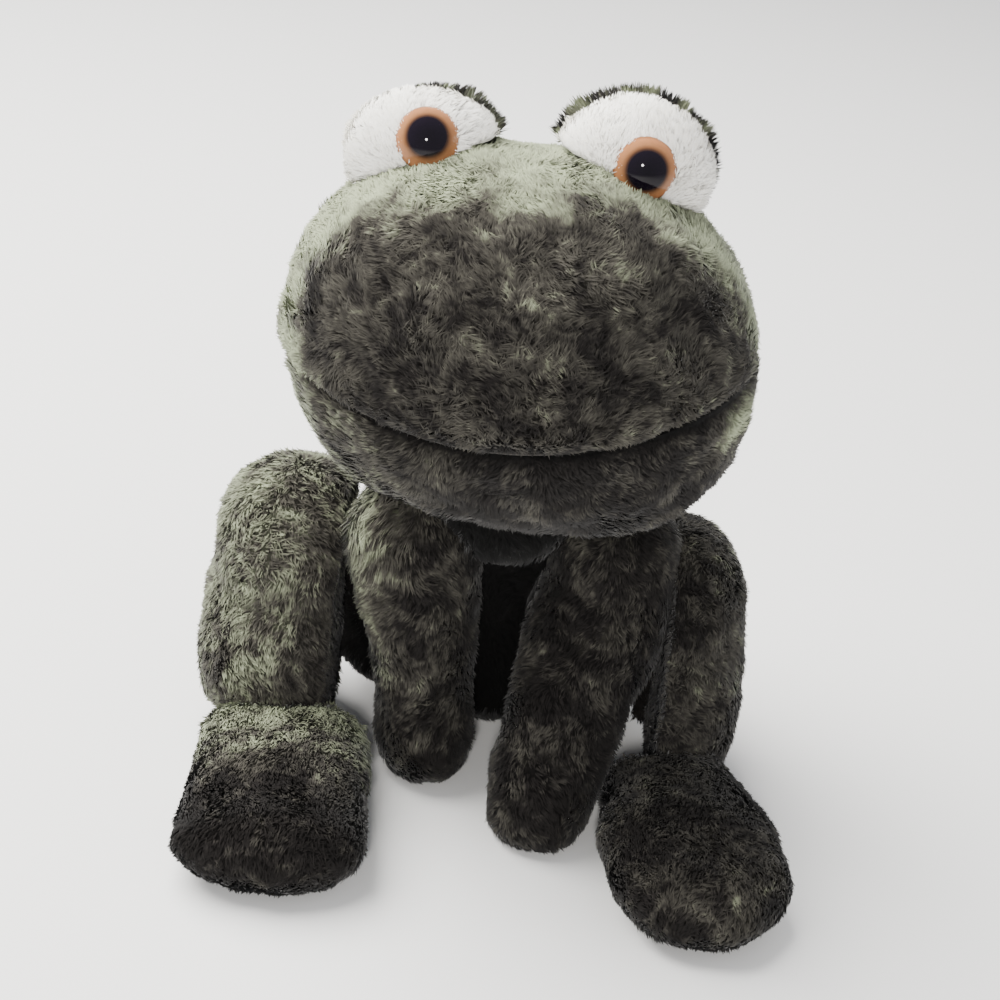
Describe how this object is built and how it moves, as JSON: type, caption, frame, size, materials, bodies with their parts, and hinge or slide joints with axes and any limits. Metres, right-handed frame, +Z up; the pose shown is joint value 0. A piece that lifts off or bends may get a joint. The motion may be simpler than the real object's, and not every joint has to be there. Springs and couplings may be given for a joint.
{
  "type": "plush frog",
  "caption": "Seated plush frog with a wide stuffed head, raised eye bulges with moulded safety eyes, a pellet-filled seat, sewn-on front legs and hind legs with long feet.",
  "frame": {"origin": "middle of the footprint, on the floor", "axes": "+Z up, the frog looks along -Y, its own left side is on +X"},
  "size_m": [0.1634, 0.1468, 0.196],
  "materials": {
    "green_plush": "mottled grey-green short pile, darker olive-brown in blotches",
    "white_plush": "cream white short pile",
    "lining_cloth": "plain woven bag cloth",
    "eye_plastic": "clear dome over an amber ring and a black pupil",
    "washer_plastic": "moulded, natural white"
  },
  "bodies": {
    "torso": {"body": "green_plush", "pellet_bag": "lining_cloth"},
    "head": {"head": "green_plush", "lower_jaw": "green_plush", "left_eye_white": "white_plush", "left_eye_back": "green_plush", "left_safety_eye": "eye_plastic", "left_eye_washer": "washer_plastic", "right_eye_white": "white_plush", "right_eye_back": "green_plush", "right_safety_eye": "eye_plastic", "right_eye_washer": "washer_plastic"},
    "left_front_leg": {"left_front_leg": "green_plush"},
    "right_front_leg": {"right_front_leg": "green_plush"},
    "left_hind_leg": {"left_hind_leg": "green_plush", "left_hind_foot": "green_plush"},
    "right_hind_leg": {"right_hind_leg": "green_plush", "right_hind_foot": "green_plush"}
  },
  "joints": [
    {"name": "neck_nod", "type": "hinge", "parent": "torso", "child": "head", "pos_m": [-0.0028, 0.0121, 0.088], "axis": [1, 0, 0], "range_deg": [-10, 5], "stiffness_Nm_per_rad": 1.2},
    {"name": "left_shoulder_swing", "type": "hinge", "parent": "torso", "child": "left_front_leg", "pos_m": [0.0287, 0.0061, 0.07], "axis": [-1, 0, 0], "range_deg": [-4, 35], "stiffness_Nm_per_rad": 0.15},
    {"name": "right_shoulder_swing", "type": "hinge", "parent": "torso", "child": "right_front_leg", "pos_m": [-0.0238, 0.0061, 0.07], "axis": [-1, 0, 0], "range_deg": [-4, 35], "stiffness_Nm_per_rad": 0.15},
    {"name": "left_hip_lift", "type": "hinge", "parent": "torso", "child": "left_hind_leg", "pos_m": [0.0428, 0.0321, 0.036], "axis": [-1, 0, 0], "range_deg": [0, 10], "stiffness_Nm_per_rad": 0.3},
    {"name": "right_hip_lift", "type": "hinge", "parent": "torso", "child": "right_hind_leg", "pos_m": [-0.045, 0.0321, 0.036], "axis": [-1, 0, 0], "range_deg": [0, 10], "stiffness_Nm_per_rad": 0.3}
  ]
}
